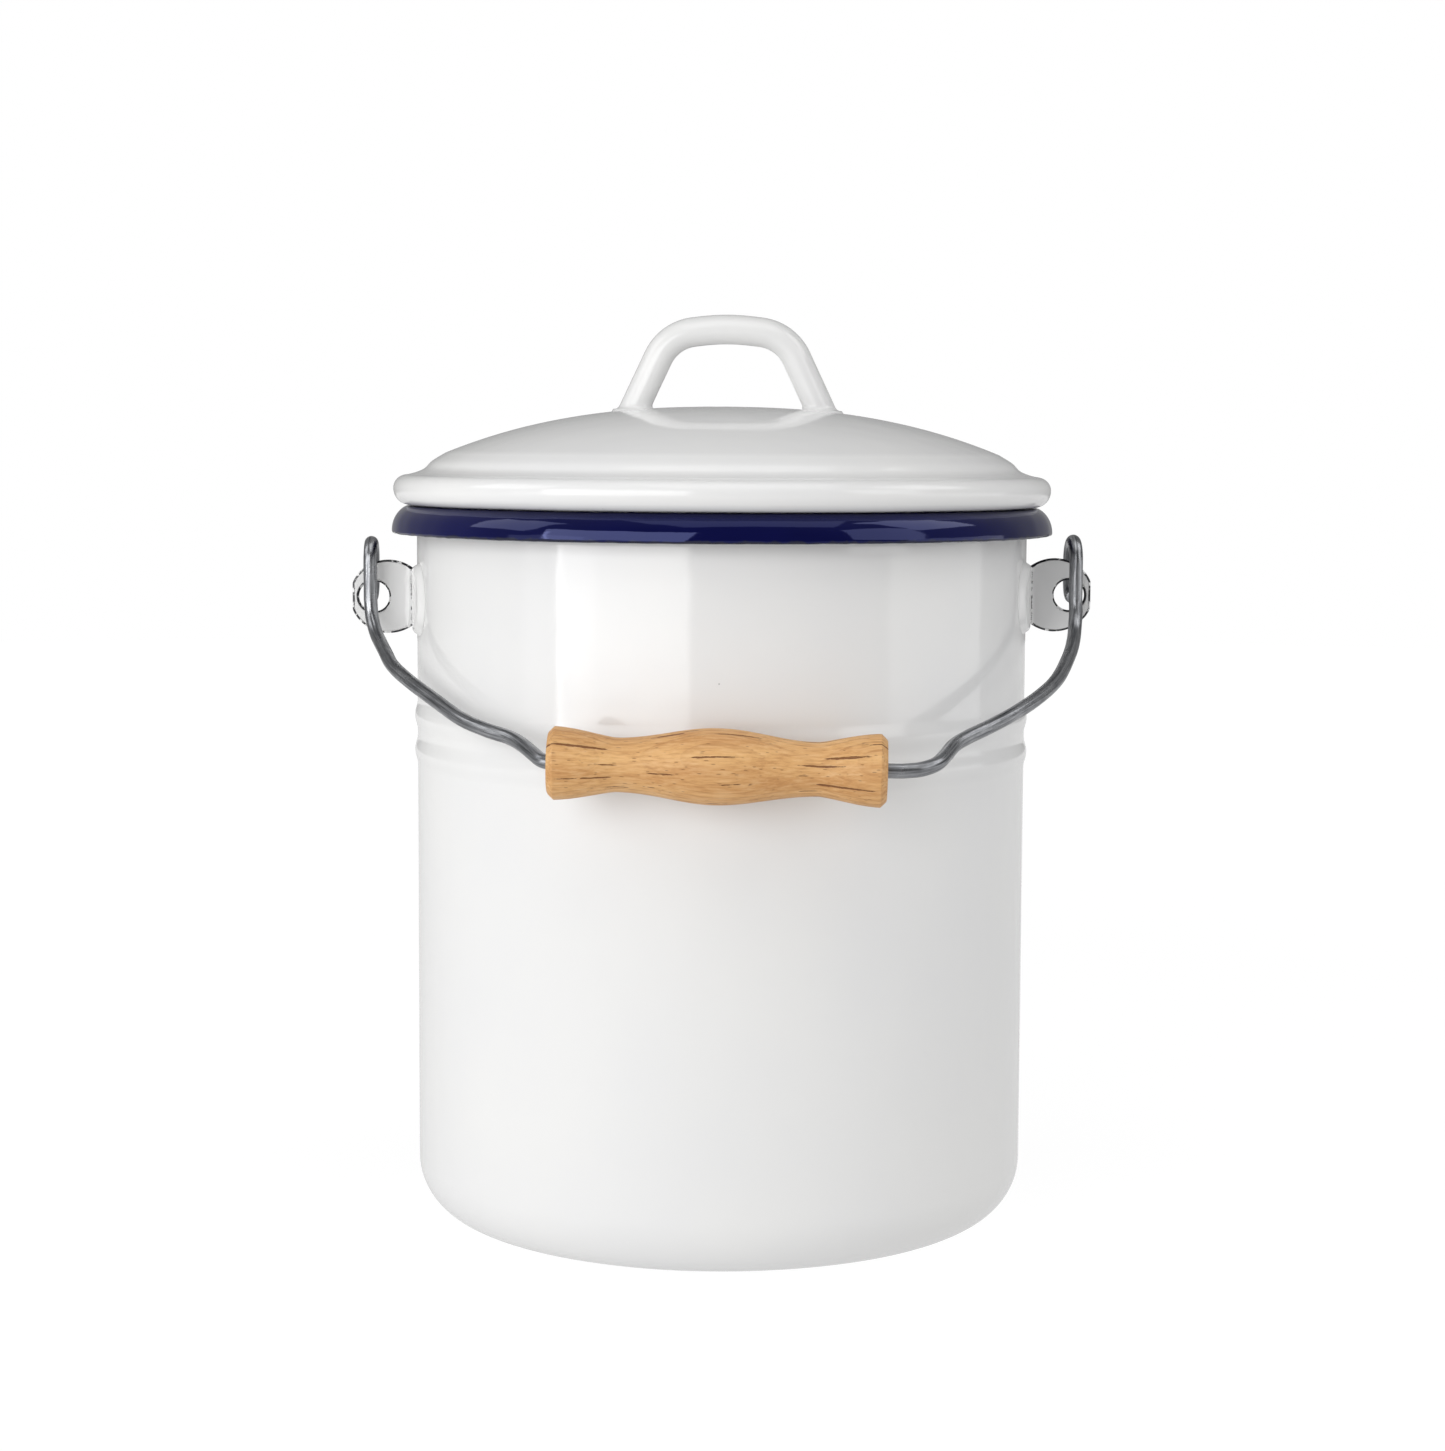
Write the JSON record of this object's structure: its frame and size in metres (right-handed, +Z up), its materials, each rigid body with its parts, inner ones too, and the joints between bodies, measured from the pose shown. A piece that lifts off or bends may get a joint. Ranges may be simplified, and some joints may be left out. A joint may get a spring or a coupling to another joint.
{
  "type": "milk pail",
  "caption": "Lidded enamelled steel pail with a rolled rim, two side ears, a swinging wire bail with a turned wooden grip, and a lift-off domed lid with a strap handle.",
  "frame": {"origin": "centre of the flat underside of the can", "axes": "+Z up along the can's axis, +X to the right ear, -Y to the front, where the bail rests"},
  "size_m": [0.2192, 0.2089, 0.2672],
  "materials": {
    "white_enamel": "glossy vitreous enamel on sheet steel",
    "blue_enamel": "glossy dark blue vitreous enamel on sheet steel",
    "bare_steel_wire": "dull drawn wire, unplated",
    "grip_wood": "turned and waxed light hardwood"
  },
  "bodies": {
    "can": {"body_shell": "white_enamel", "rolled_rim": "blue_enamel", "ear_left": "white_enamel", "ear_right": "white_enamel"},
    "lid": {"lid_shell": "white_enamel", "lid_collar": "white_enamel", "lid_handle": "white_enamel"},
    "bail": {"bail_wire": "bare_steel_wire"},
    "grip": {"bail_grip": "grip_wood"}
  },
  "joints": [
    {"name": "lid_lift", "type": "slide", "parent": "can", "child": "lid", "axis": [0, 0, 1], "range_m": [0, 0.12]},
    {"name": "bail_swing", "type": "hinge", "parent": "can", "child": "bail", "pos_m": [0, 0, 0.1919], "axis": [-1, 0, -0.0067], "range_deg": [0, 230]},
    {"name": "grip_spin", "type": "hinge", "parent": "bail", "child": "grip", "pos_m": [-0.0009, -0.1006, 0.14406], "axis": [0.9995, -0.0274, -0.0161], "continuous": true}
  ]
}
